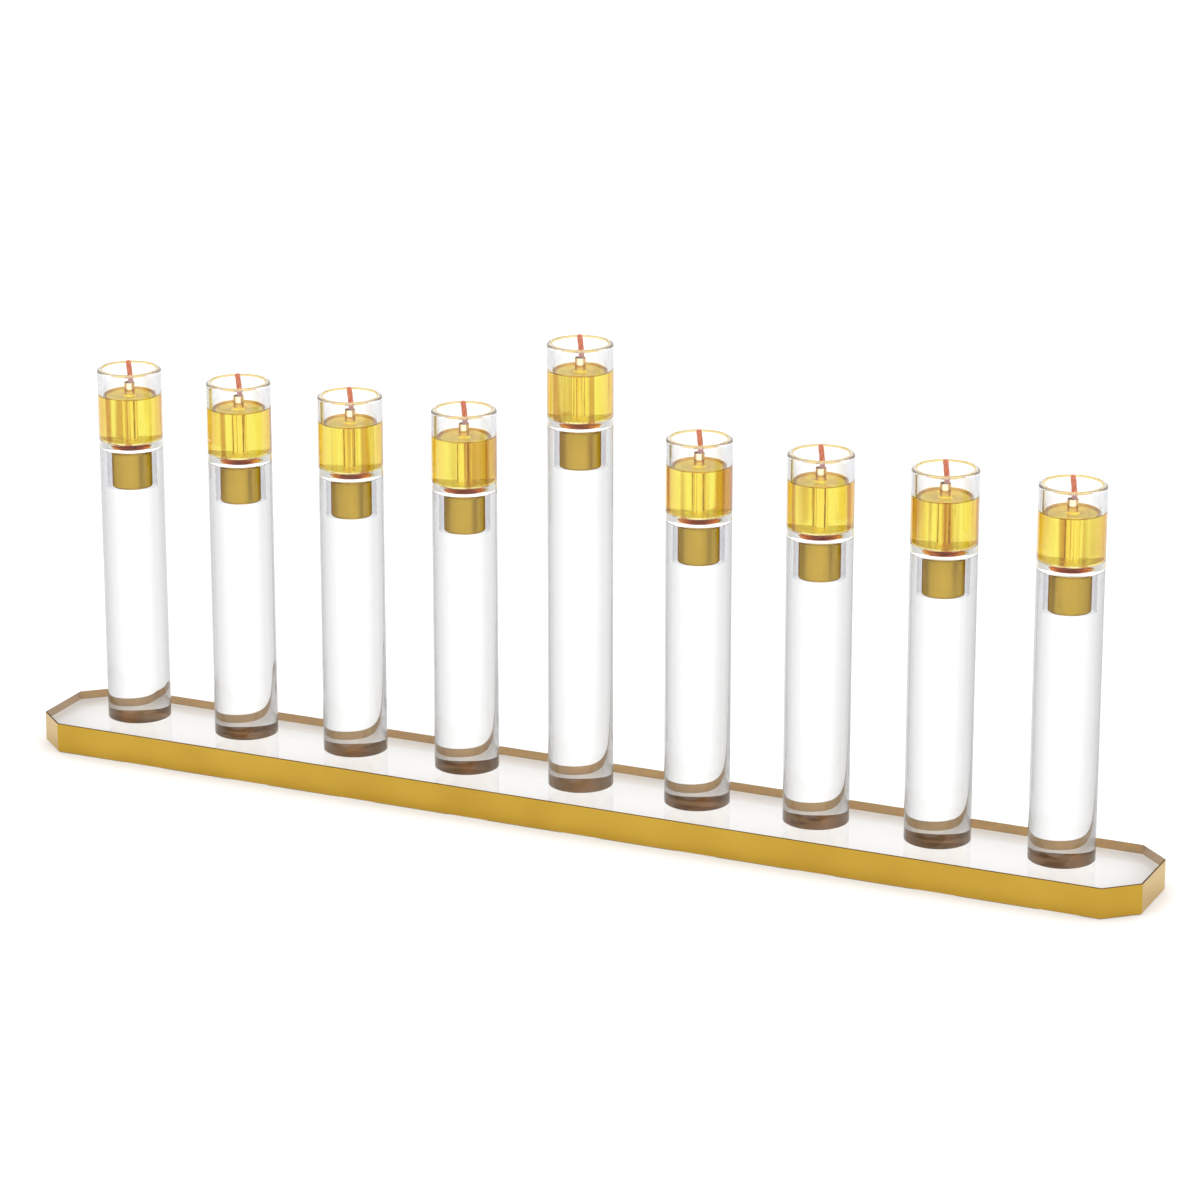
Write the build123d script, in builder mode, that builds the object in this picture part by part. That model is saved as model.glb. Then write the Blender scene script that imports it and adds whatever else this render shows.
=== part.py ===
from build123d import *
import os

# Menorah: nine clear columns in a row on a clear plate with a gold edge. Each column
# holds a candle socket, and a lift-off oil lamp stands on it with its peg in the socket.
# Origin: centre of the plate's underside. +X along the row, +Y to the back, +Z up.
# All dimensions are in millimetres.

# Plate and its metal edge band
plate_length = 458.4
plate_width = 48.8
plate_thickness = 12.0
corner_cut_x = 12.0
corner_cut_y = 10.8
band_thickness = 0.5
band_lift = 0.25

# Columns
column_pitch = 48.4
column_radius = 12.5
column_height = 111.2
shamash_rise = 31.0
column_bevel = 0.15

# Candle socket, a thin metal cup with a conical mouth, bonded into a pocket in the column's top
socket_bore_radius = 4.8
socket_wall = 0.5
socket_depth = 16.2
socket_mouth_radius = 6.2
socket_mouth_depth = 2.0
socket_mouth_blend = 0.8
lip_radius = 7.75
pocket_radius = 6.6
pocket_depth = 17.6
pocket_corner_radius = 1.5

# Oil cup with a solid peg under its base, which widens to a cone where it meets the base
cup_height = 31.2
cup_bore_radius = 10.4
cup_base_thickness = 2.3
cup_floor_radius = 1.9
cup_foot_radius = 0.15
rim_outer_radius = 0.9
rim_inner_radius = 0.25
peg_clearance = 0.3
peg_length = 12.0
peg_tip_radius = 1.0

# Oil, wick stand and wick: heights are above the cup's underside
oil_level = 20.6
tube_radius = 2.0
tube_bore_radius = 1.7
tube_top = 25.8
foot_radius = 8.0
foot_thickness = 0.8
feed_hole_radius = 0.8
feed_hole_height = 6.4
wick_radius = 1.05
wick_offset = 0.6
wick_start = 5.0
wick_bend_start = 22.8
wick_bend_radius = 75.0
wick_lean = 9.0
wick_tip_radius = 1.0

# Worked out from the dimensions above
socket_radius = socket_bore_radius + socket_wall
mouth_outer_radius = socket_mouth_radius + 0.4 * socket_wall
mouth_outer_depth = socket_mouth_depth + 0.5 * socket_wall
peg_radius = socket_bore_radius - peg_clearance
peg_root_radius = socket_mouth_radius - peg_clearance
foot_top = cup_base_thickness + foot_thickness
lamp_names = ["1", "2", "3", "4", "shamash", "5", "6", "7", "8"]
middle = lamp_names.index("shamash")


def save(part, name):
    """Label a finished sub-part and write it as its own file."""
    part.label = name
    export_step(part, f"parts/{name}.step")


def lamp_axis(x):
    """The upright centre line of the lamp at x."""
    return Axis((x, 0, 0), (0, 0, 1))


def half_section(x, z, corners):
    """Face to revolve about a lamp's axis. Each corner is its radius, its height above z
    and how much it is rounded."""
    with BuildSketch(Plane(origin=(x, 0, z), x_dir=(1, 0, 0), z_dir=(0, -1, 0))) as section:
        with BuildLine():
            points = [(radius, height) for radius, height, rounding in corners]
            FilletPolyline(*points, radius=[corner[2] for corner in corners], close=True)
        make_face()
    return section.sketch


def plate_outline(height, inset):
    """The plate's outline, a rectangle with its four corners cut off, moved in by inset."""
    x = plate_length / 2
    y = plate_width / 2
    front_right = [(x - corner_cut_x, -y), (x, corner_cut_y - y)]
    back_right = [(px, -py) for px, py in reversed(front_right)]
    right = front_right + back_right
    left = [(-px, py) for px, py in reversed(right)]
    with BuildSketch(Plane.XY.offset(height)) as outline:
        with BuildLine():
            Polyline(*right, *left, close=True)
        make_face()
        if inset:
            offset(amount=-inset, kind=Kind.INTERSECTION, mode=Mode.REPLACE)
    return outline.sketch


def make_base_plate():
    """The clear plate, inside the band that wraps it."""
    with BuildPart() as plate:
        extrude(plate_outline(0, band_thickness), amount=plate_thickness)
    save(plate.part, "base_plate")


def make_edge_band():
    """The metal strip round the plate's edge, just clear of the surface below."""
    height = plate_thickness - band_lift
    with BuildPart() as band:
        extrude(plate_outline(band_lift, 0), amount=height)
        extrude(plate_outline(band_lift, band_thickness), amount=height, mode=Mode.SUBTRACT)
    save(band.part, "edge_band")


def make_column(name, x, height):
    """A solid column with a stepped pocket in its top for the socket and its lip."""
    top = plate_thickness + height
    pocket = [
        (0, 0, 0),
        (lip_radius, 0, 0),
        (lip_radius, -socket_wall, 0),
        (pocket_radius, -socket_wall, 0),
        (pocket_radius, -pocket_depth, pocket_corner_radius),
        (0, -pocket_depth, 0),
    ]
    with BuildPart(Plane((x, 0, plate_thickness))) as column:
        Cylinder(column_radius, height, align=(Align.CENTER, Align.CENTER, Align.MIN))
        chamfer(column.edges().filter_by(GeomType.CIRCLE), column_bevel)
        revolve(half_section(x, top, pocket), axis=lamp_axis(x), mode=Mode.SUBTRACT)
    save(column.part, f"column_{name}")


def socket_outside():
    """Corners of the socket's outer surface, closed across its mouth."""
    return [
        (0, 0, 0),
        (lip_radius, 0, 0),
        (lip_radius, -socket_wall, 0),
        (mouth_outer_radius, -socket_wall, 0),
        (socket_radius, -mouth_outer_depth, socket_mouth_blend),
        (socket_radius, -socket_depth, 2 * socket_wall),
        (0, -socket_depth, 0),
    ]


def make_socket(name, x, top):
    """The spun metal cup: a tube with a closed floor and a conical mouth under a flat lip."""
    floor = socket_wall - socket_depth
    bore = [
        (0, socket_wall, 0),
        (lip_radius, socket_wall, 0),
        (lip_radius, 0, 0),
        (socket_mouth_radius, 0, 0),
        (socket_bore_radius, -socket_mouth_depth, socket_mouth_blend),
        (socket_bore_radius, floor, socket_wall),
        (0, floor, 0),
    ]
    with BuildPart() as socket:
        revolve(half_section(x, top, socket_outside()), axis=lamp_axis(x))
        revolve(half_section(x, top, bore), axis=lamp_axis(x), mode=Mode.SUBTRACT)
    save(socket.part, f"candle_socket_{name}")


def make_settings(places):
    """The clear resin between each pocket and its socket, one solid for each column."""
    pocket = [
        (0, -socket_wall, 0),
        (pocket_radius, -socket_wall, 0),
        (pocket_radius, -pocket_depth, pocket_corner_radius),
        (0, -pocket_depth, 0),
    ]
    with BuildPart() as settings:
        for x, top in places:
            revolve(half_section(x, top, pocket), axis=lamp_axis(x))
            revolve(half_section(x, top, socket_outside()), axis=lamp_axis(x), mode=Mode.SUBTRACT)
    save(settings.part, "socket_settings")


def make_cup(name, x, base):
    """The clear lamp cup: solid base, rounded rim and a peg whose root is a cone."""
    wall = [
        (0, -peg_length, 0),
        (peg_radius, -peg_length, peg_tip_radius),
        (peg_radius, -socket_mouth_depth, socket_mouth_blend),
        (peg_root_radius, 0, 0),
        (column_radius, 0, cup_foot_radius),
        (column_radius, cup_height, rim_outer_radius),
        (cup_bore_radius, cup_height, rim_inner_radius),
        (cup_bore_radius, cup_base_thickness, cup_floor_radius),
        (0, cup_base_thickness, 0),
    ]
    with BuildPart() as cup:
        revolve(half_section(x, base, wall), axis=lamp_axis(x))
    save(cup.part, f"oil_cup_{name}")


def make_oil(name, x, base):
    """The oil that fills the cup round the wick stand."""
    ring = [
        (foot_radius, cup_base_thickness, 0),
        (cup_bore_radius, cup_base_thickness, cup_floor_radius),
        (cup_bore_radius, oil_level, 0),
        (tube_radius, oil_level, 0),
        (tube_radius, foot_top, 0),
        (foot_radius, foot_top, 0),
    ]
    with BuildPart() as oil:
        revolve(half_section(x, base, ring), axis=lamp_axis(x))
    save(oil.part, f"oil_fill_{name}")


def make_wick_stand(name, x, base):
    """The metal tube that carries the wick, on a wide disc, with a cross hole that lets oil in."""
    outside = [
        (0, cup_base_thickness, 0),
        (foot_radius, cup_base_thickness, 0),
        (foot_radius, foot_top, 0),
        (tube_radius, foot_top, 0),
        (tube_radius, tube_top, 0),
        (0, tube_top, 0),
    ]
    with BuildPart() as stand:
        revolve(half_section(x, base, outside), axis=lamp_axis(x))
        with Locations(stand.faces().sort_by(Axis.Z)[-1]):
            Hole(tube_bore_radius, depth=tube_top - foot_top)
        with BuildSketch(Plane(origin=(x, 0, base + feed_hole_height), z_dir=(0, -1, 0))):
            Circle(feed_hole_radius)
        extrude(amount=foot_radius, both=True, mode=Mode.SUBTRACT)
    save(stand.part, f"wick_stand_{name}")


def make_wick(name, x, base):
    """The round cotton wick: straight in the tube, then leaning towards the lamp's axis."""
    with BuildPart() as wick:
        with BuildLine(Plane(origin=(x, 0, base), x_dir=(1, 0, 0), z_dir=(0, -1, 0))):
            shank = Line((wick_offset, wick_start), (wick_offset, wick_bend_start))
            JernArc(shank @ 1, (0, 1), wick_bend_radius, wick_lean)
        with BuildSketch(Plane((x + wick_offset, 0, base + wick_start))):
            Circle(wick_radius)
        sweep()
        tip = wick.edges().filter_by(GeomType.CIRCLE).sort_by(Axis.Z)[-1]
        fillet(tip, wick_tip_radius)
    save(wick.part, f"wick_{name}")


os.makedirs("parts", exist_ok=True)
make_base_plate()
make_edge_band()
socket_places = []
for index, lamp_name in enumerate(lamp_names):
    lamp_x = (index - middle) * column_pitch
    lamp_height = column_height + (shamash_rise if index == middle else 0)
    column_top = plate_thickness + lamp_height
    socket_places.append((lamp_x, column_top))
    make_column(lamp_name, lamp_x, lamp_height)
    make_socket(lamp_name, lamp_x, column_top)
    make_cup(lamp_name, lamp_x, column_top)
    make_oil(lamp_name, lamp_x, column_top)
    make_wick_stand(lamp_name, lamp_x, column_top)
    make_wick(lamp_name, lamp_x, column_top)
make_settings(socket_places)
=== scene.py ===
import math

import bmesh
import bpy
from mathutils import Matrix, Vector
from mathutils.geometry import delaunay_2d_cdt


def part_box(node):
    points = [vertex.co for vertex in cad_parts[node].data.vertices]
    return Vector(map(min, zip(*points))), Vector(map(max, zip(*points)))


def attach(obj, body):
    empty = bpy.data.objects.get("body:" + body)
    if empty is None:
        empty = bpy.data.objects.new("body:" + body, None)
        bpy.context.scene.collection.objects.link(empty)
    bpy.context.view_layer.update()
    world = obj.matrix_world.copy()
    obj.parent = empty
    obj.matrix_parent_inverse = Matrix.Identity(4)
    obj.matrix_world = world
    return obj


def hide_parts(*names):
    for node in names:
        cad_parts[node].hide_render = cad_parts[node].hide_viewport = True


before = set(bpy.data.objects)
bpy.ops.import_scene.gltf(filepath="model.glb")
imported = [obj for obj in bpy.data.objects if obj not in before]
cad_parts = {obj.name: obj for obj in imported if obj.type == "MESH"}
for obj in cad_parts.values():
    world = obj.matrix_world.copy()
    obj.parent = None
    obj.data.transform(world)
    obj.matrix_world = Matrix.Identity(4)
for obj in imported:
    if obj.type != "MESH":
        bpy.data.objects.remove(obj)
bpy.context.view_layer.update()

# Lengths in this script are in millimetres, in the frame's own axes, and become metres in the meshes.
MM = 0.001
LAMPS = ["1", "2", "3", "4", "shamash", "5", "6", "7", "8"]
SEGMENTS = 160
ARC_STEP = math.radians(9)
SHARP = math.radians(32)
GOLDEN_ANGLE = math.radians(137.5)
CONTACT = 0.02  # between metal or oil and the glass it touches, whose faces there are bonded
REST_GAP = 0.04  # air under a cup that only stands on its column

# Details that the CAD nodes' boxes don't give
COLUMN_BEVEL = 0.1
LIP_THICKNESS = 0.5
LIP_EDGE = 0.12
SOCKET_BORE = 4.8
SOCKET_RADIUS = 5.3
SOCKET_MOUTH = 6.2
SOCKET_MOUTH_DEPTH = 2.0
MOUTH_BLEND = 0.8
POCKET_ROUND = 1.5
CUP_BASE = 2.3
CUP_FLOOR_ROUND = 1.9
CUP_FOOT_ROUND = 0.12
RIM_OUTSIDE = 0.9
RIM_INSIDE = 0.25
RIM_LINE = 0.55
PEG_RADIUS = 4.5
PEG_TIP = 1.0
PEG_ROOT = 5.9
PEG_ROOT_DEPTH = 2.0
MENISCUS_RISE = 0.7
MENISCUS_WIDTH = 1.4
MENISCUS_STEPS = 7
MENISCUS_CURVE = 2.4
TUBE_RADIUS = 2.0
TUBE_BORE = 1.7
TUBE_EDGE = 0.1
STAND_FOOT_THICKNESS = 0.8
WICK_RADIUS = 1.05
WICK_OFFSET = 0.6
WICK_START = 5.0
WICK_BEND_START = 22.8
WICK_BEND_RADIUS = 75.0
WICK_LEAN = math.radians(9)
WICK_TIP = 1.0
# Heights over which the wick's painted shade below gives way to its dyed colour.
WICK_DYED_FROM = (26.5, 28.5)
WICK_STEPS = 150
WICK_SEGMENTS = 48
YARNS = 4
YARN_PITCH = 3.6
YARN_RELIEF = 0.13
CORNER_CUT = (12.0, 10.8)
BAND_THICKNESS = 0.5
BAND_CORNER = 0.7
CORNER_STEPS = 4
SHARPEST_CORNER = 0.05
BAND_EDGE = 0.2

# Optics
GLASS_IOR = 1.5
OIL_IOR = 1.47
RESIN_IOR = 1.44
ROOT_IOR = 1.12  # across the thin air gap between the peg's root and the socket's mouth
WHITE = (1.0, 1.0, 1.0)


# ---------------------------------------------------------------- places from the frame
def measure(node):
    """A CAD node's lowest and highest corners, in millimetres."""
    low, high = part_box(node)
    return low / MM, high / MM


def column_place(name):
    """(x of the axis, height of the top, radius) of a lamp's column."""
    low, high = measure(f"column_{name}")
    return (low.x + high.x) / 2, high.z, (high.x - low.x) / 2


# ---------------------------------------------------------------- meshes
def link(name, mesh, materials, at=(0, 0, 0)):
    """An object of a mesh, placed in the row frame, in millimetres."""
    for material in materials:
        mesh.materials.append(material)
    piece = bpy.data.objects.new(name, mesh)
    piece.location = Vector(at) * MM
    bpy.context.scene.collection.objects.link(piece)
    return piece


def keep_flats_flat(piece):
    """Normals weighted by area, so that a rounding doesn't tilt the flat or straight wall beside it."""
    weighted = piece.modifiers.new("even_normals", "WEIGHTED_NORMAL")
    weighted.mode = "FACE_AREA"
    weighted.weight = 100
    weighted.keep_sharp = True


def finish_mesh(bm, name):
    """A closed, outward-facing, smooth mesh with sharp edges where it turns."""
    bmesh.ops.recalc_face_normals(bm, faces=bm.faces)
    mesh = bpy.data.meshes.new(name)
    bm.to_mesh(mesh)
    bm.free()
    mesh.shade_smooth()
    mesh.set_sharp_from_angle(angle=SHARP)
    return mesh


def rounded(corners):
    """Closed profile of (radius, height, rounding, skin) corners, with each rounding cut into
    short steps. Gives (radius, height, skin) points, where skin is that of the stretch after it."""
    points = []
    for i, (r, z, rounding, skin) in enumerate(corners):
        corner = Vector((r, z))
        if not rounding:
            points.append((r, z, skin))
            continue
        back = (Vector(corners[i - 1][:2]) - corner).normalized()
        ahead = (Vector(corners[(i + 1) % len(corners)][:2]) - corner).normalized()
        half = back.angle(ahead) / 2
        centre = corner + (back + ahead).normalized() * rounding / math.sin(half)
        start = corner + back * rounding / math.tan(half) - centre
        end = corner + ahead * rounding / math.tan(half) - centre
        turn = math.pi - 2 * half
        steps = max(3, math.ceil(turn / ARC_STEP))
        for step in range(steps + 1):
            t = step / steps
            spoke = (start * math.sin((1 - t) * turn) + end * math.sin(t * turn)) / math.sin(turn)
            points.append((centre.x + spoke.x, centre.y + spoke.y, skin))
    return points


def lathe(points):
    """bmesh of a closed profile turned about the Z axis. Skins become material indices."""
    bm = bmesh.new()
    rings = []
    for r, z, skin in points:
        if r < 1e-6:
            rings.append([bm.verts.new((0, 0, z * MM))])
            continue
        ring = []
        for k in range(SEGMENTS):
            angle = 2 * math.pi * k / SEGMENTS
            ring.append(bm.verts.new((r * MM * math.cos(angle), r * MM * math.sin(angle), z * MM)))
        rings.append(ring)
    for i, (r, z, skin) in enumerate(points):
        a = rings[i]
        b = rings[(i + 1) % len(rings)]
        if len(a) == 1 and len(b) == 1:
            continue
        for k in range(SEGMENTS):
            n = (k + 1) % SEGMENTS
            around = [a[k % len(a)], a[n % len(a)], b[n % len(b)], b[k % len(b)]]
            face = bm.faces.new(list(dict.fromkeys(around)))
            face.material_index = skin
    return bm


def turned_piece(name, corners, materials, at, turn=0.0):
    """A lathed piece whose corners are measured from its own origin, turned to its lamp's angle."""
    piece = link(name, finish_mesh(lathe(rounded(corners)), name), materials, at)
    piece.rotation_euler.z = turn
    keep_flats_flat(piece)
    return piece


# ---------------------------------------------------------------- materials
def new_material(name):
    """(material, nodes, a linking function, the Principled node, the output node)."""
    material = bpy.data.materials.new(name)
    material.use_nodes = True
    nodes = material.node_tree.nodes
    links = material.node_tree.links
    return material, nodes, links.new, nodes["Principled BSDF"], nodes["Material Output"]


def noise(nodes, link_to, scale, detail=3.0, stretch=(1, 1, 1)):
    """A noise texture's factor in the object's own coordinates."""
    place = nodes.new("ShaderNodeTexCoord")
    mapping = nodes.new("ShaderNodeMapping")
    mapping.inputs["Scale"].default_value = stretch
    texture = nodes.new("ShaderNodeTexNoise")
    texture.inputs["Scale"].default_value = scale
    texture.inputs["Detail"].default_value = detail
    link_to(place.outputs["Object"], mapping.inputs["Vector"])
    link_to(mapping.outputs["Vector"], texture.inputs["Vector"])
    return texture.outputs["Fac"]


def spread(nodes, link_to, factor, low, high):
    """The factor's middle range mapped to values from low to high."""
    mapped = nodes.new("ShaderNodeMapRange")
    mapped.inputs["From Min"].default_value = 0.3
    mapped.inputs["From Max"].default_value = 0.7
    mapped.inputs["To Min"].default_value = low
    mapped.inputs["To Max"].default_value = high
    link_to(factor, mapped.inputs["Value"])
    return mapped.outputs["Result"]


def blend_colours(nodes, link_to, factor, first, second, between=(0.3, 0.7)):
    """A colour between two, as the factor goes through a range."""
    ramp = nodes.new("ShaderNodeValToRGB")
    ramp.color_ramp.elements[0].position = between[0]
    ramp.color_ramp.elements[0].color = (*first, 1)
    ramp.color_ramp.elements[1].position = between[1]
    ramp.color_ramp.elements[1].color = (*second, 1)
    link_to(factor, ramp.inputs["Fac"])
    return ramp.outputs["Color"]


def mix_colours(nodes, link_to, factor, first, second, blend="MIX"):
    """A mix of two colours, each a colour or a node's output, by a number or a node's output."""
    mix = nodes.new("ShaderNodeMix")
    mix.data_type = "RGBA"
    mix.blend_type = blend
    for name, value in (("Factor", factor), ("A", first), ("B", second)):
        if isinstance(value, bpy.types.NodeSocket):
            link_to(value, mix.inputs[name])
        else:
            mix.inputs[name].default_value = (*value, 1) if isinstance(value, tuple) else value
    return mix.outputs["Result"]


def facing_away(nodes, link_to, low, high, spread_in=None):
    """How far a surface turns away from the view, from 0 at low to 1 at high."""
    facing = nodes.new("ShaderNodeLayerWeight")
    facing.inputs["Blend"].default_value = 0.5
    amount = facing.outputs["Facing"]
    if spread_in is not None:
        sooner = nodes.new("ShaderNodeMath")
        sooner.operation = "POWER"
        sooner.use_clamp = True
        sooner.inputs[1].default_value = spread_in
        link_to(amount, sooner.inputs[0])
        amount = sooner.outputs["Value"]
    turned_away = nodes.new("ShaderNodeMapRange")
    turned_away.inputs["From Min"].default_value = low
    turned_away.inputs["From Max"].default_value = high
    link_to(amount, turned_away.inputs["Value"])
    return turned_away.outputs["Result"]


def attribute(nodes, name):
    """A number stored on the mesh's faces."""
    stored = nodes.new("ShaderNodeAttribute")
    stored.attribute_name = name
    return stored.outputs["Fac"]


def mix_shaders(nodes, link_to, factor, first, second):
    """A mix of two shaders, by a number or a node's output."""
    mix = nodes.new("ShaderNodeMixShader")
    if isinstance(factor, bpy.types.NodeSocket):
        link_to(factor, mix.inputs["Fac"])
    else:
        mix.inputs["Fac"].default_value = factor
    link_to(first, mix.inputs[1])
    link_to(second, mix.inputs[2])
    return mix.outputs["Shader"]


def add_bump(nodes, link_to, shader, height, distance):
    """Raises the surface by a height texture, with the full range at distance millimetres."""
    bump = nodes.new("ShaderNodeBump")
    bump.inputs["Strength"].default_value = 1.0
    bump.inputs["Distance"].default_value = distance * MM
    link_to(height, bump.inputs["Height"])
    link_to(bump.outputs["Normal"], shader.inputs["Normal"])


def clear_glass(name, ior, edge=WHITE, spread_in=0.75, ripple=0.0, streaks=None, reach=(0.0, 1.0)):
    """Clear glass whose polish has faint clouds. Seen edge-on it takes the edge colour, a painted
    shade for the darker surroundings seen through it, which spreads further in where spread_in
    is less, and begins and ends at reach. ripple is how deep its upright waves are, in mm.
    streaks is the colour of upright streaks of painted shade, which stand in for darker
    surroundings seen through what lies against it. Light passes straight through on its way
    to matt surfaces, so the glass casts no shadow."""
    material, nodes, link_to, shader, output = new_material(name)
    # Painted shade: dark upright streaks that stand in for darker surroundings seen through the glass.
    if streaks:
        bands = noise(nodes, link_to, 190, 1.0, (1, 1, 0.02))
        threads = noise(nodes, link_to, 900, 2.0, (1, 1, 0.03))
        broad = blend_colours(nodes, link_to, bands, streaks, WHITE, (0.36, 0.42))
        fine = blend_colours(nodes, link_to, threads, streaks, WHITE, (0.22, 0.34))
        tint = mix_colours(nodes, link_to, 1.0, broad, fine, "MULTIPLY")
    else:
        clouds = noise(nodes, link_to, 60)
        tint = blend_colours(nodes, link_to, clouds, (0.985, 0.990, 0.988), WHITE)
    # Painted shade: the glass darkens to its edge colour as it turns away from view.
    away = facing_away(nodes, link_to, *reach, spread_in)
    edge_shade = mix_colours(nodes, link_to, away, WHITE, edge)
    link_to(mix_colours(nodes, link_to, 1.0, tint, edge_shade, "MULTIPLY"), shader.inputs["Base Color"])
    shader.inputs["Transmission Weight"].default_value = 1.0
    shader.inputs["Roughness"].default_value = 0.0
    shader.inputs["IOR"].default_value = ior
    if ripple:
        waves = noise(nodes, link_to, 400, 1.0, (1, 1, 0.06))
        add_bump(nodes, link_to, shader, waves, ripple)
    path = nodes.new("ShaderNodeLightPath")
    through = nodes.new("ShaderNodeBsdfTransparent").outputs["BSDF"]
    surface = shader.outputs["BSDF"]
    for ray in ("Is Diffuse Ray", "Is Shadow Ray"):
        surface = mix_shaders(nodes, link_to, path.outputs[ray], surface, through)
    link_to(surface, output.inputs["Surface"])
    return material


def rim_glass(name, light, deep, clear):
    """Rim of a cup: glass made partly matt, in a tone between light and deep. clear is how clear it is."""
    material, nodes, link_to, shader, output = new_material(name)
    clouds = noise(nodes, link_to, 300, 2.0)
    link_to(blend_colours(nodes, link_to, clouds, deep, light), shader.inputs["Base Color"])
    shader.inputs["Transmission Weight"].default_value = clear
    shader.inputs["Roughness"].default_value = 0.03
    shader.inputs["IOR"].default_value = GLASS_IOR
    return material


def optical_bond(name, haze=0.0):
    """Faces where two clear solids, or metal and glass, are joined with no air between. Haze
    is how much of a matt amber covers them, which browns the columns' feet."""
    material, nodes, link_to, shader, output = new_material(name)
    through = nodes.new("ShaderNodeBsdfTransparent").outputs["BSDF"]
    if not haze:
        nodes.remove(shader)
        link_to(through, output.inputs["Surface"])
        return material
    clouds = noise(nodes, link_to, 200)
    amber = blend_colours(nodes, link_to, clouds, (0.88, 0.56, 0.32), (0.98, 0.67, 0.41))
    link_to(amber, shader.inputs["Base Color"])
    shader.inputs["Roughness"].default_value = 0.8
    shader.inputs["Specular IOR Level"].default_value = 0.0
    hazy = mix_shaders(nodes, link_to, haze, through, shader.outputs["BSDF"])
    link_to(hazy, output.inputs["Surface"])
    return material


def gold(name, light, deep, roughness, grain, coat=0.0, edge=None, grazing=None):
    """Gold with a grain, given as (noise scale, stretch along each axis, depth in mm). Its gloss
    goes over to the edge colour as it turns away, and to the grazing colour at its very edge;
    both are painted shade that darkens its sides."""
    material, nodes, link_to, shader, output = new_material(name)
    scale, stretch, depth = grain
    streaks = noise(nodes, link_to, scale, 4.0, stretch)
    clouds = noise(nodes, link_to, 35, 2.0)
    tone = blend_colours(nodes, link_to, clouds, deep, light)
    if edge:
        away = facing_away(nodes, link_to, 0.10, 0.32)
        tone = mix_colours(nodes, link_to, away, tone, edge)
    link_to(tone, shader.inputs["Base Color"])
    if grazing:
        shader.inputs["Specular Tint"].default_value = (*grazing, 1)
    low, high = roughness
    link_to(spread(nodes, link_to, streaks, low, high), shader.inputs["Roughness"])
    shader.inputs["Metallic"].default_value = 1.0
    shader.inputs["Coat Weight"].default_value = coat
    shader.inputs["Coat Roughness"].default_value = 0.08
    shader.inputs["Coat IOR"].default_value = 1.6
    add_bump(nodes, link_to, shader, streaks, depth)
    return material


def lamp_oil():
    """Golden oil. Only its open surface reflects and bends light, because the cup's wet faces
    do that elsewhere. Its half-matt surface has painted glints, and where it climbs the cup's
    wall it is painted a deeper colour, a painted shade line."""
    material, nodes, link_to, shader, output = new_material("golden_oil")
    # Painted glints: brighter yellow spots on the oil's surface.
    painted_glints = noise(nodes, link_to, 500, 2.0, (1, 1, 0.3))
    tone = blend_colours(nodes, link_to, painted_glints, (0.92, 0.57, 0.01), (1.0, 0.84, 0.03), (0.38, 0.6))
    # Painted shade: a deeper colour where the oil climbs the cup's wall.
    climb = attribute(nodes, "climb")
    link_to(mix_colours(nodes, link_to, climb, tone, (0.50, 0.23, 0.008)), shader.inputs["Base Color"])
    shader.inputs["Transmission Weight"].default_value = 0.5
    shader.inputs["Specular Tint"].default_value = (1.0, 0.72, 0.2, 1)
    shader.inputs["Roughness"].default_value = 0.0
    shader.inputs["IOR"].default_value = OIL_IOR
    through = nodes.new("ShaderNodeBsdfTransparent").outputs["BSDF"]
    open_surface = attribute(nodes, "open_surface")
    surface = mix_shaders(nodes, link_to, open_surface, through, shader.outputs["BSDF"])
    link_to(surface, output.inputs["Surface"])
    absorption = nodes.new("ShaderNodeVolumeAbsorption")
    absorption.inputs["Color"].default_value = (0.915, 0.86, 0.01, 1)
    absorption.inputs["Density"].default_value = 120
    link_to(absorption.outputs["Volume"], output.inputs["Volume"])
    return material


def cotton():
    """Braided cotton, dyed salmon, painted darker and pinker low down as a painted shade for the cup's
    glass in front of it.
    """
    material, nodes, link_to, shader, output = new_material("braided_cotton")
    fibres = noise(nodes, link_to, 2600, 4.0, (1, 1, 0.25))
    dyed = blend_colours(nodes, link_to, fibres, (0.46, 0.12, 0.065), (0.72, 0.25, 0.15))
    # Painted shade: darker and pinker where the cup's wall stands in front of the wick.
    shaded_behind_glass = blend_colours(nodes, link_to, fibres, (0.36, 0.16, 0.15), (0.56, 0.30, 0.28))
    place = nodes.new("ShaderNodeTexCoord")
    split = nodes.new("ShaderNodeSeparateXYZ")
    rise = nodes.new("ShaderNodeMapRange")
    rise.inputs["From Min"].default_value = WICK_DYED_FROM[0] * MM
    rise.inputs["From Max"].default_value = WICK_DYED_FROM[1] * MM
    link_to(place.outputs["Object"], split.inputs["Vector"])
    link_to(split.outputs["Z"], rise.inputs["Value"])
    tone = mix_colours(nodes, link_to, rise.outputs["Result"], shaded_behind_glass, dyed)
    link_to(tone, shader.inputs["Base Color"])
    shader.inputs["Roughness"].default_value = 0.8
    shader.inputs["Sheen Weight"].default_value = 0.25
    shader.inputs["Sheen Roughness"].default_value = 0.4
    add_bump(nodes, link_to, shader, fibres, 0.05)
    return material


crystal = clear_glass("crystal", GLASS_IOR)
# Painted shade: the columns' walls and the cups' dry walls darken to grey at their edges.
crystal_wall = clear_glass("crystal_wall", GLASS_IOR, edge=(0.10, 0.10, 0.11))
cup_glass = clear_glass("cup_glass", GLASS_IOR)
cup_wall = clear_glass("cup_wall", GLASS_IOR, edge=(0.30, 0.30, 0.33), ripple=0.002)
peg_root = clear_glass("peg_root", ROOT_IOR)
# Painted highlight: the rim's top is whitened by a pale matt tone.
cup_rim = rim_glass("cup_rim", (1.0, 0.99, 0.97), (0.93, 0.91, 0.87), 0.82)
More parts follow.
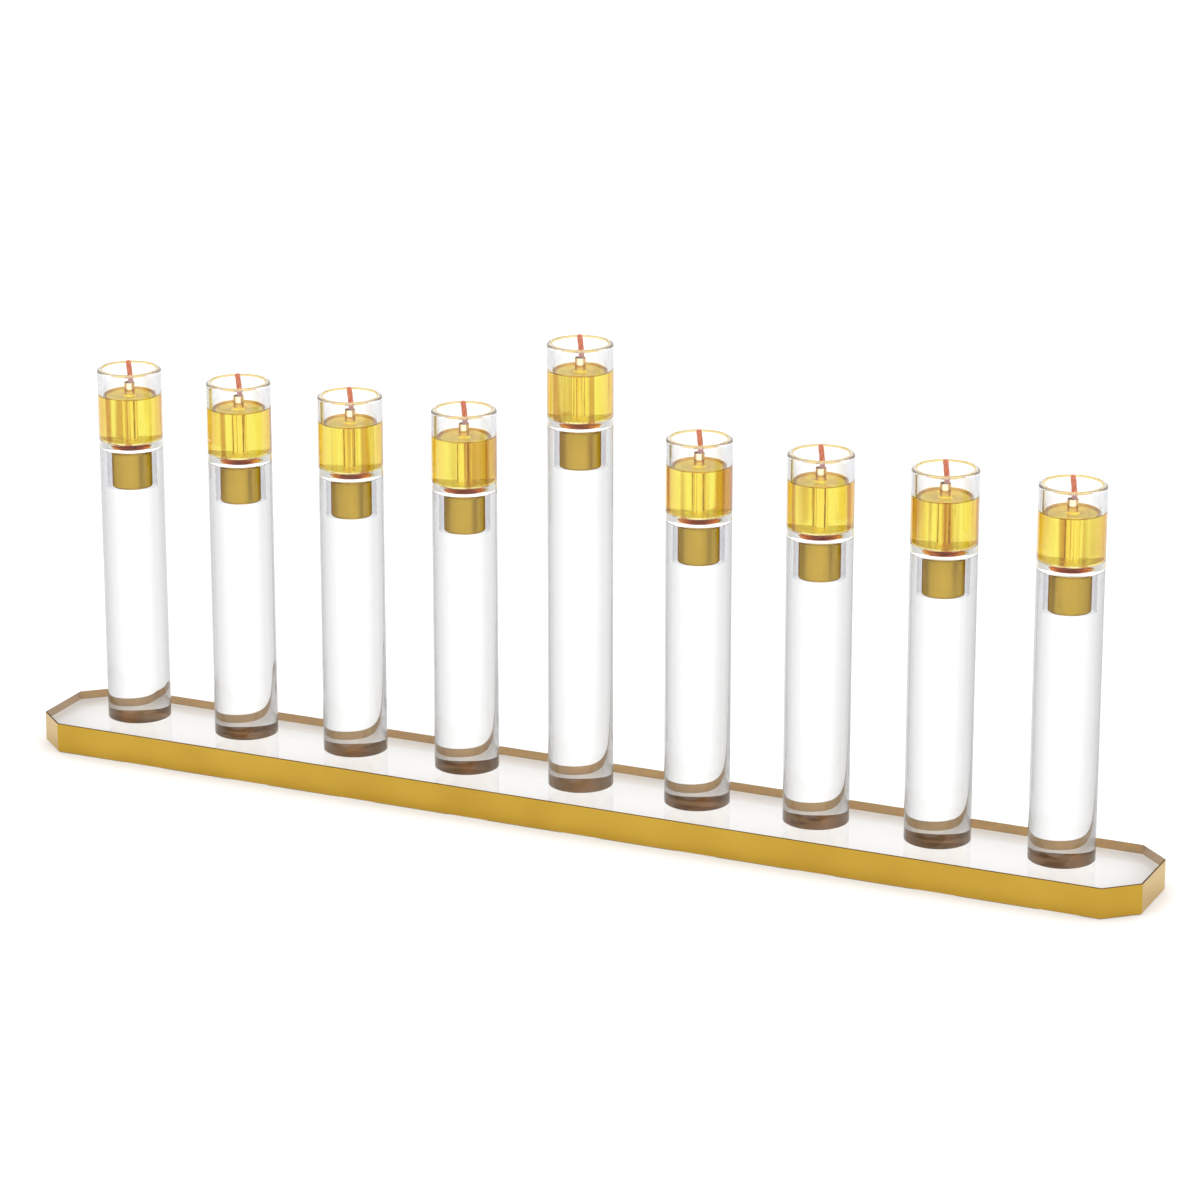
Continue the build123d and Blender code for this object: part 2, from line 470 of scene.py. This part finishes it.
# The rim's inner edge takes a golden matt tone.
cup_rim_edge = rim_glass("cup_rim_edge", (0.95, 0.78, 0.30), (0.80, 0.56, 0.14), 0.4)
# Painted shade: the cup's wall over the oil turns amber at its edges and has faint yellow upright streaks.
oil_wall = clear_glass(
    "cup_wall_over_oil",
    GLASS_IOR,
    edge=(0.72, 0.38, 0.04),
    spread_in=0.7,
    ripple=0.02,
    streaks=(0.92, 0.78, 0.46),
    reach=(0.25, 0.68),
)
# Painted shade: grey strips at the edges of each column's pocket.
against_resin = clear_glass(
    "crystal_against_resin",
    GLASS_IOR / RESIN_IOR,
    edge=(0.62, 0.61, 0.64),
    spread_in=0.5,
)
# Painted shade: dark orange upright streaks in the oil, standing in for darker surroundings seen through
# it.
against_oil = clear_glass(
    "cup_glass_against_oil",
    GLASS_IOR / OIL_IOR,
    spread_in=0.9,
    streaks=(0.48, 0.23, 0.06),
)
bond = optical_bond("optical_bond")
glue = optical_bond("foot_glue", 0.15)

BAND_GRAIN = (500, (0.02, 0.02, 1), 0.002)
TUBE_GRAIN = (700, (1, 1, 0.05), 0.001)
band_gold = gold("band_gold", (0.535, 0.335, 0.042), (0.475, 0.285, 0.030), (0.13, 0.2), BAND_GRAIN, 0.15)
# Painted shade: a darker copy of the band's gold for its inner face, seen through the plate.
shaded_band_inside = gold("shaded_band_inside", (0.50, 0.27, 0.03), (0.40, 0.21, 0.02), (0.1, 0.18), BAND_GRAIN)
# Painted shade: a near-black gold on the band's top edge and top face draws a dark line along it.
shaded_band_edge = gold("shaded_band_edge", (0.13, 0.07, 0.025), (0.09, 0.045, 0.015), (0.35, 0.5), BAND_GRAIN)
# Painted shade: a dark grazing colour darkens the sockets' sides.
socket_gold = gold(
    "socket_gold",
    (0.625, 0.41, 0.047),
    (0.57, 0.365, 0.037),
    (0.32, 0.38),
    (260, (1, 1, 0.05), 0.0005),
    grazing=(0.20, 0.09, 0.02),
)
# Painted shade: the sockets' insides are a dark orange-red, standing in for the dim, reddened light deep
# in their hollows.
shaded_socket_inside = gold(
    "shaded_socket_inside",
    (1.0, 0.50, 0.06),
    (0.68, 0.13, 0.010),
    (0.12, 0.2),
    (420, (1, 1, 0.3), 0.004),
)
# Painted shade: the tube's gloss turns a darker gold at its sides.
tube_gold = gold(
    "tube_gold",
    (0.98, 0.92, 0.70),
    (0.95, 0.86, 0.58),
    (0.03, 0.07),
    TUBE_GRAIN,
    edge=(0.55, 0.31, 0.05),
)
wet_gold = gold("wet_gold", (1.0, 0.92, 0.62), (0.97, 0.86, 0.50), (0.03, 0.07), TUBE_GRAIN)
disc_gold = gold("disc_gold", (1.0, 0.94, 0.60), (0.98, 0.90, 0.50), (0.24, 0.34), (800, (1, 1, 1), 0.5))
oil = lamp_oil()
wick_cotton = cotton()


# ---------------------------------------------------------------- plate and band
def outline(inset, rounding=0.0):
    """The plate's eight-cornered outline, moved in by inset, with rounded corners if asked."""
    low, high = measure("edge_band")
    cut_x, cut_y = CORNER_CUT
    quarter = [Vector((high.x - cut_x, low.y)), Vector((high.x, low.y + cut_y))]
    right = quarter + [Vector((p.x, -p.y)) for p in reversed(quarter)]
    corners = right + [Vector((-p.x, p.y)) for p in reversed(right)]
    count = len(corners)
    points = []
    for i, corner in enumerate(corners):
        back = (corners[i - 1] - corner).normalized()
        ahead = (corners[(i + 1) % count] - corner).normalized()
        half = back.angle(ahead) / 2
        inward = (back + ahead).normalized()
        moved = corner + inward * inset / math.sin(half)
        if not rounding:
            points.append(moved)
            continue
        radius = max(rounding - inset, SHARPEST_CORNER)
        centre = moved + inward * radius / math.sin(half)
        turn = math.pi - 2 * half
        middle = math.atan2(-inward.y, -inward.x)
        for step in range(CORNER_STEPS + 1):
            angle = middle + turn * (step / CORNER_STEPS - 0.5)
            points.append(centre + Vector((math.cos(angle), math.sin(angle))) * radius)
    return points


def make_plate():
    """The clear plate, with its columns' feet glued to its top and the band bonded to its sides."""
    low, high = measure("base_plate")
    edge = outline(BAND_THICKNESS)
    flat = list(edge)
    loops = [list(range(len(edge)))]
    centres = []
    clear, bonded, glued = 0, 1, 2
    for name in LAMPS:
        x, _, radius = column_place(name)
        centre = Vector((x, 0))
        foot = radius - COLUMN_BEVEL
        centres.append((centre, foot))
        first = len(flat)
        for k in range(SEGMENTS):
            angle = 2 * math.pi * k / SEGMENTS
            flat.append(centre + Vector((math.cos(angle), math.sin(angle))) * foot)
        loops.append(list(range(first, first + SEGMENTS)))
    points, _, faces, _, _, _ = delaunay_2d_cdt(flat, [], loops, 1, 1e-4)
    bm = bmesh.new()
    top_verts = [bm.verts.new((p.x * MM, p.y * MM, high.z * MM)) for p in points]
    for face in faces:
        middle = sum((points[i] for i in face), Vector((0, 0))) / len(face)
        made = bm.faces.new([top_verts[i] for i in face])
        under_foot = any((middle - centre).length < foot for centre, foot in centres)
        made.material_index = glued if under_foot else clear
    count = len(edge)
    under = [bm.verts.new((p.x * MM, p.y * MM, low.z * MM)) for p in edge]
    bm.faces.new(list(reversed(under)))
    for i in range(count):
        n = (i + 1) % count
        side = bm.faces.new([under[i], under[n], top_verts[n], top_verts[i]])
        side.material_index = bonded
    return link("clear_plate", finish_mesh(bm, "clear_plate"), [crystal, bond, glue])


def make_band():
    """The gold strip wrapped round the plate, with softly broken edges, folded corners and a painted shade
    line along its top.
    """
    low, high = measure("edge_band")
    inner = BAND_THICKNESS - CONTACT
    face_gold, shaded_edge_gold, shaded_inside_gold = 0, 1, 2
    section = [
        (BAND_EDGE, low.z),
        (0, low.z + BAND_EDGE),
        (0, high.z - BAND_EDGE),
        (BAND_EDGE, high.z),
        (inner, high.z),
        (inner, low.z),
    ]
    bm = bmesh.new()
    rings = []
    for inset, z in section:
        ring = [bm.verts.new((p.x * MM, p.y * MM, z * MM)) for p in outline(inset, BAND_CORNER)]
        rings.append(ring)
    for i, ring in enumerate(rings):
        following = (i + 1) % len(rings)
        after = rings[following]
        skin = face_gold
        if section[i][0] == inner and section[following][0] == inner:
            skin = shaded_inside_gold
        # The top bevel and top face take the painted shade line.
        if section[i][1] >= high.z - BAND_EDGE and section[i][0] < inner:
            skin = shaded_edge_gold
        for k in range(len(ring)):
            n = (k + 1) % len(ring)
            face = bm.faces.new([ring[k], ring[n], after[n], after[k]])
            face.material_index = skin
    piece = link("gold_band", finish_mesh(bm, "gold_band"), [band_gold, shaded_band_edge, shaded_band_inside])
    keep_flats_flat(piece)
    return piece


# ---------------------------------------------------------------- columns, sockets and resin
def make_column(name):
    """A crystal column. Its foot and lip recess are bonded, and its pocket's wall meets resin."""
    x, top, radius = column_place(name)
    plate_top = measure("base_plate")[1].z
    lip = measure(f"candle_socket_{name}")[1].x - x + CONTACT
    pocket_low = pocket_floor(name)
    pocket_radius = pocket_size()
    recess = top - LIP_THICKNESS - CONTACT
    glass, bonded, resin, wall = 0, 1, 2, 3
    corners = [
        (0, plate_top, 0, bonded),
        (radius - COLUMN_BEVEL, plate_top, 0, glass),
        (radius, plate_top + COLUMN_BEVEL, 0, wall),
        (radius, top - COLUMN_BEVEL, 0, glass),
        (radius - COLUMN_BEVEL, top, 0, glass),
        (lip, top, 0, bonded),
        (lip, recess, 0, bonded),
        (pocket_radius, recess, 0, resin),
        (pocket_radius, pocket_low + POCKET_ROUND, 0, bonded),
        (pocket_radius, pocket_low, POCKET_ROUND - 0.01, bonded),
        (0, pocket_low, 0, bonded),
    ]
    materials = [crystal, bond, against_resin, crystal_wall]
    return turned_piece(f"clear_column_{name}", corners, materials, (x, 0, 0))


def pocket_size():
    """Radius of the pockets: how far the resin reaches past the last column's axis."""
    x = column_place(LAMPS[-1])[0]
    return measure("socket_settings")[1].x - x


def pocket_floor(name):
    """Height of a pocket's floor, which is as far below its column's top in every column."""
    lowest = measure("socket_settings")[0].z
    depth = column_place(LAMPS[0])[1] - lowest
    return column_place(name)[1] - depth


def make_socket(name, turn):
    """The spun gold cup in a column's top."""
    x, top, _ = column_place(name)
    low, high = measure(f"candle_socket_{name}")
    lip = high.x - x
    floor = low.z - top
    outside, inside = 0, 1
    corners = [
        (0, floor, 0, outside),
        (SOCKET_RADIUS, floor, 2 * LIP_THICKNESS, outside),
        (SOCKET_RADIUS, -SOCKET_MOUTH_DEPTH - LIP_THICKNESS / 2, 0, outside),
        (SOCKET_MOUTH + 0.4 * LIP_THICKNESS, -LIP_THICKNESS, 0, outside),
        (lip, -LIP_THICKNESS, LIP_EDGE, outside),
        (lip, 0, LIP_EDGE, outside),
        # The inner faces take the socket's painted shade.
        (SOCKET_MOUTH, 0, 0, inside),
        (SOCKET_BORE, -SOCKET_MOUTH_DEPTH, MOUTH_BLEND, inside),
        (SOCKET_BORE, floor + LIP_THICKNESS, LIP_THICKNESS, inside),
        (0, floor + LIP_THICKNESS, 0, inside),
    ]
    return turned_piece(f"gold_socket_{name}", corners, [socket_gold, shaded_socket_inside], (x, 0, top), turn)


def make_resin():
    """The clear resin between each pocket and its socket, joined to both without air."""
    whole = bmesh.new()
    for name in LAMPS:
        x, top, _ = column_place(name)
        inner = SOCKET_RADIUS + CONTACT
        outer = pocket_size() - CONTACT
        floor = measure(f"candle_socket_{name}")[0].z - CONTACT
        under_lip = top - LIP_THICKNESS - CONTACT
        corners = [
            (0, pocket_floor(name) + CONTACT, 0, 0),
            (outer, pocket_floor(name) + CONTACT, POCKET_ROUND, 0),
            (outer, under_lip, 0, 0),
            (inner, under_lip, 0, 0),
            (inner, floor, 2 * LIP_THICKNESS, 0),
            (0, floor, 0, 0),
        ]
        ring = lathe(rounded(corners))
        bmesh.ops.translate(ring, verts=ring.verts, vec=(x * MM, 0, 0))
        part = bpy.data.meshes.new("resin_ring")
        ring.to_mesh(part)
        ring.free()
        whole.from_mesh(part)
        bpy.data.meshes.remove(part)
    return link("clear_resin", finish_mesh(whole, "clear_resin"), [bond])


# ---------------------------------------------------------------- lamps
def lamp_place(name):
    """(x of the axis, height of the cup's underside) of a lamp."""
    return column_place(name)[:2]


def meniscus(wall, side, level):
    """Points of the oil's surface where it climbs a wall. side is -1 where the wall is outside."""
    points = []
    for step in range(MENISCUS_STEPS + 1):
        away = step / MENISCUS_STEPS
        rise = MENISCUS_RISE * (1 - away) ** MENISCUS_CURVE
        points.append((wall + side * away * MENISCUS_WIDTH, level + rise))
    return points


def make_cup(name, turn):
    """The lamp's cup: dry above the oil, wet below it, with a peg that flares into its base. It
    stands a hair above its column, and its height makes that up."""
    x, base = lamp_place(name)
    low, high = measure(f"oil_cup_{name}")
    oil_high = measure(f"oil_fill_{name}")[1]
    radius = high.x - x
    bore = oil_high.x - x
    height = high.z - base
    waterline = oil_high.z - base + MENISCUS_RISE - REST_GAP
    dry, wet, wall, golden, lip, lip_edge, root = 0, 1, 2, 3, 4, 5, 6
    corners = [
        (0, low.z - base, 0, dry),
        (PEG_RADIUS, low.z - base, PEG_TIP, wall),
        (PEG_RADIUS, -PEG_ROOT_DEPTH, MOUTH_BLEND, root),
        (PEG_ROOT, 0, 0, dry),
        (radius, 0, CUP_FOOT_ROUND, dry),
        (radius, CUP_BASE + CUP_FLOOR_ROUND, 0, golden),
        (radius, waterline, 0, wall),
        (radius, height, RIM_OUTSIDE, lip),
        (bore + RIM_LINE, height, 0, lip_edge),
        (bore, height, RIM_INSIDE, lip_edge),
        (bore, height - 2 * RIM_INSIDE, 0, dry),
        (bore, waterline, 0, wet),
        (bore, CUP_BASE, CUP_FLOOR_ROUND, wet),
        (0, CUP_BASE, 0, wet),
    ]
    points = rounded(corners)
    lift = [(r, z + REST_GAP * max(0, 1 - max(z, 0) / height), skin) for r, z, skin in points]
    mesh = finish_mesh(lathe(lift), f"glass_cup_{name}")
    materials = [cup_glass, against_oil, cup_wall, oil_wall, cup_rim, cup_rim_edge, peg_root]
    piece = link(f"glass_cup_{name}", mesh, materials, (x, 0, base))
    piece.rotation_euler.z = turn
    keep_flats_flat(piece)
    return piece


def make_oil(name, turn):
    """The oil, drawn up a little where it meets the cup and the wick tube."""
    x, base = lamp_place(name)
    high = measure(f"oil_fill_{name}")[1]
    bore = high.x - x - CONTACT
    level = high.z - base
    floor = CUP_BASE + REST_GAP + CONTACT
    tube = TUBE_RADIUS + CONTACT
    foot = measure(f"wick_stand_{name}")[1].x - x + CONTACT
    foot_top = floor + STAND_FOOT_THICKNESS
    hidden, open_air, climbing = 0, 1, 2
    outer = [(r, z, climbing) for r, z in meniscus(bore, -1, level)]
    outer[-1] = (*outer[-1][:2], open_air)
    inner = [(r, z, open_air) for r, z in reversed(meniscus(tube, 1, level))]
    inner[-1] = (*inner[-1][:2], hidden)
    walls = rounded(
        [
            (tube, foot_top, 0, hidden),
            (foot, foot_top, 0, hidden),
            (foot, floor, 0, hidden),
            (bore, floor, CUP_FLOOR_ROUND - CONTACT, hidden),
            (bore, level, 0, hidden),
        ]
    )[:-1]
    bm = lathe(walls + outer + inner)
    open_surface = bm.faces.layers.float.new("open_surface")
    climb = bm.faces.layers.float.new("climb")
    for face in bm.faces:
        face[open_surface] = float(face.material_index != hidden)
        face[climb] = float(face.material_index == climbing)
        face.material_index = 0
    piece = link(f"golden_oil_{name}", finish_mesh(bm, f"golden_oil_{name}"), [oil], (x, 0, base))
    piece.rotation_euler.z = turn
    keep_flats_flat(piece)
    return piece


def make_stand(name, turn):
    """The gold tube on its wide disc, with a wet part under the oil and a dry part above it."""
    x, base = lamp_place(name)
    high = measure(f"wick_stand_{name}")[1]
    foot = high.x - x
    floor = CUP_BASE + REST_GAP
    foot_top = floor + STAND_FOOT_THICKNESS
    top = high.z - base
    wet_top = measure(f"oil_fill_{name}")[1].z - base
    dry, disc, wet = 0, 1, 2
    corners = [
        (0, floor, 0, disc),
        (foot, floor, TUBE_EDGE, disc),
        (foot, foot_top, TUBE_EDGE, disc),
        (TUBE_RADIUS, foot_top, TUBE_EDGE, wet),
        (TUBE_RADIUS, wet_top, 0, dry),
        (TUBE_RADIUS, top, TUBE_EDGE, dry),
        (TUBE_BORE, top, TUBE_EDGE, dry),
        (TUBE_BORE, foot_top, 0, dry),
        (0, foot_top, 0, dry),
    ]
    materials = [tube_gold, disc_gold, wet_gold]
    return turned_piece(f"wick_tube_{name}", corners, materials, (x, 0, base), turn)


def wick_path():
    """Centreline of a wick from its foot to its tip, as (place, direction) pairs."""
    spine = []
    straight = WICK_BEND_START - WICK_START
    arc = WICK_BEND_RADIUS * WICK_LEAN
    for step in range(WICK_STEPS + 1):
        s = (straight + arc) * step / WICK_STEPS
        if s <= straight:
            spine.append((Vector((WICK_OFFSET, 0, WICK_START + s)), Vector((0, 0, 1))))
            continue
        lean = (s - straight) / WICK_BEND_RADIUS
        x = WICK_OFFSET - WICK_BEND_RADIUS * (1 - math.cos(lean))
        z = WICK_BEND_START + WICK_BEND_RADIUS * math.sin(lean)
        spine.append((Vector((x, 0, z)), Vector((-math.sin(lean), 0, math.cos(lean)))))
    return spine


def make_wick(name, turn):
    """A round braid of cotton yarns that stand a little proud, with a rounded tip."""
    x, base = lamp_place(name)
    spine = wick_path()
    length = sum((b[0] - a[0]).length for a, b in zip(spine, spine[1:]))
    other = Vector((0, 1, 0))
    bm = bmesh.new()
    rings = []
    s = 0.0
    for i, (place, along) in enumerate(spine):
        if i:
            s += (place - spine[i - 1][0]).length
        side = Vector((along.z, 0, -along.x))
        to_tip = length - s
        dome = math.sqrt(max(0.0, 1 - max(0.0, 1 - to_tip / WICK_TIP) ** 2))
        ring = []
        for k in range(WICK_SEGMENTS):
            angle = 2 * math.pi * k / WICK_SEGMENTS
            right = YARNS * (angle + turn) + 2 * math.pi * s / YARN_PITCH
            left = YARNS * (angle + turn) - 2 * math.pi * s / YARN_PITCH
            over = max(abs(math.cos(right / 2)), abs(math.cos(left / 2)))
            r = WICK_RADIUS * (1 - YARN_RELIEF * (1 - over ** 2)) * max(dome, 0.02)
            spoke = side * math.cos(angle) + other * math.sin(angle)
            ring.append(bm.verts.new((place + spoke * r) * MM))
        rings.append(ring)
    for a, b in zip(rings, rings[1:]):
        for k in range(WICK_SEGMENTS):
            n = (k + 1) % WICK_SEGMENTS
            bm.faces.new([a[k], a[n], b[n], b[k]])
    bm.faces.new(list(reversed(rings[0])))
    bm.faces.new(rings[-1])
    return link(f"cotton_wick_{name}", finish_mesh(bm, f"cotton_wick_{name}"), [wick_cotton], (x, 0, base))


def settle(piece, body, slot, *nodes):
    """The piece moves with a body and stands for its CAD nodes, which it hides. slot is not used."""
    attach(piece, body)
    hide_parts(*nodes)


settle(make_plate(), "stand", "crystal", "base_plate")
settle(make_band(), "stand", "gold_band", "edge_band")
settle(make_resin(), "stand", "clear_resin", "socket_settings")
for index, lamp in enumerate(LAMPS):
    turn = index * GOLDEN_ANGLE
    rider = f"lamp_{lamp}"
    settle(make_column(lamp), "stand", "crystal", f"column_{lamp}")
    settle(make_socket(lamp, turn), "stand", "gold_socket", f"candle_socket_{lamp}")
    settle(make_cup(lamp, turn), rider, "cup_glass", f"oil_cup_{lamp}")
    settle(make_oil(lamp, turn), rider, "lamp_oil", f"oil_fill_{lamp}")
    settle(make_stand(lamp, turn), rider, "gold_tube", f"wick_stand_{lamp}")
    settle(make_wick(lamp, turn), rider, "cotton_wick", f"wick_{lamp}")


# ---------------------------------------------------------------- studio
FLOOR_HALF = 6000
FLOOR_DROP = 0.2
CAMERA_TURN = math.radians(24.428)
CAMERA_PITCH = math.radians(17.758)
CAMERA_DISTANCE = 1736.3
CAMERA_LENS = 138.14
CAMERA_SENSOR = 36
AIM = Vector((8.09, 0, 86.2))
SIDE_LIGHT = 0.85
BEHIND_LIGHT = 0.6
OVERHEAD_LIGHT = 0.85


def make_floor():
    """A plain pale matt table top."""
    bm = bmesh.new()
    bmesh.ops.create_grid(bm, x_segments=4, y_segments=4, size=FLOOR_HALF * MM)
    bmesh.ops.translate(bm, verts=bm.verts, vec=(0, 0, -FLOOR_DROP * MM))
    mesh = bpy.data.meshes.new("floor")
    bm.to_mesh(mesh)
    bm.free()
    material, nodes, link_to, shader, output = new_material("pale_table")
    clouds = noise(nodes, link_to, 3)
    tone = blend_colours(nodes, link_to, clouds, (0.885, 0.885, 0.888), (0.895, 0.895, 0.897))
    link_to(tone, shader.inputs["Base Color"])
    shader.inputs["Roughness"].default_value = 0.7
    shader.inputs["Specular IOR Level"].default_value = 0.1
    floor = link("floor", mesh, [material])


def make_camera():
    """The camera, to the right of the row's front and a little above it."""
    data = bpy.data.cameras.new("camera")
    data.lens = CAMERA_LENS
    data.sensor_width = CAMERA_SENSOR
    camera = bpy.data.objects.new("camera", data)
    bpy.context.scene.collection.objects.link(camera)
    toward = Vector(
        (
            math.sin(CAMERA_TURN) * math.cos(CAMERA_PITCH),
            -math.cos(CAMERA_TURN) * math.cos(CAMERA_PITCH),
            math.sin(CAMERA_PITCH),
        )
    )
    camera.location = (AIM + toward * CAMERA_DISTANCE) * MM
    camera.rotation_euler = toward.to_track_quat("Z", "Y").to_euler()
    bpy.context.scene.camera = camera


def smooth_step(nodes, link_to, value, span, result):
    """The value mapped smoothly from a span to a result's two ends."""
    mapped = nodes.new("ShaderNodeMapRange")
    mapped.interpolation_type = "SMOOTHSTEP"
    mapped.inputs["From Min"].default_value = span[0]
    mapped.inputs["From Max"].default_value = span[1]
    mapped.inputs["To Min"].default_value = result[0]
    mapped.inputs["To Max"].default_value = result[1]
    link_to(value, mapped.inputs["Value"])
    return mapped.outputs["Result"]


def make_world():
    """Soft studio light from all round: strongest overhead and weakest low down behind."""
    world = bpy.data.worlds.new("studio")
    bpy.context.scene.world = world
    world.use_nodes = True
    nodes = world.node_tree.nodes
    link_to = world.node_tree.links.new
    background = nodes["Background"]
    direction = nodes.new("ShaderNodeTexCoord").outputs["Generated"]
    behind = nodes.new("ShaderNodeVectorMath")
    behind.operation = "DOT_PRODUCT"
    behind.inputs[1].default_value = (-math.sin(CAMERA_TURN), math.cos(CAMERA_TURN), 0)
    link_to(direction, behind.inputs[0])
    around = smooth_step(nodes, link_to, behind.outputs["Value"], (0.1, 0.95), (SIDE_LIGHT, BEHIND_LIGHT))
    split = nodes.new("ShaderNodeSeparateXYZ")
    link_to(direction, split.inputs["Vector"])
    overhead = smooth_step(nodes, link_to, split.outputs["Z"], (0.35, 0.75), (0.0, OVERHEAD_LIGHT))
    total = nodes.new("ShaderNodeMath")
    total.operation = "ADD"
    link_to(around, total.inputs[0])
    link_to(overhead, total.inputs[1])
    link_to(total.outputs["Value"], background.inputs["Strength"])
    background.inputs["Color"].default_value = (*WHITE, 1)


make_floor()
make_camera()
make_world()
scene = bpy.context.scene
scene.view_settings.view_transform = "Standard"
scene.cycles.max_bounces = 28
scene.cycles.transmission_bounces = 28
scene.cycles.glossy_bounces = 14
scene.cycles.transparent_max_bounces = 24
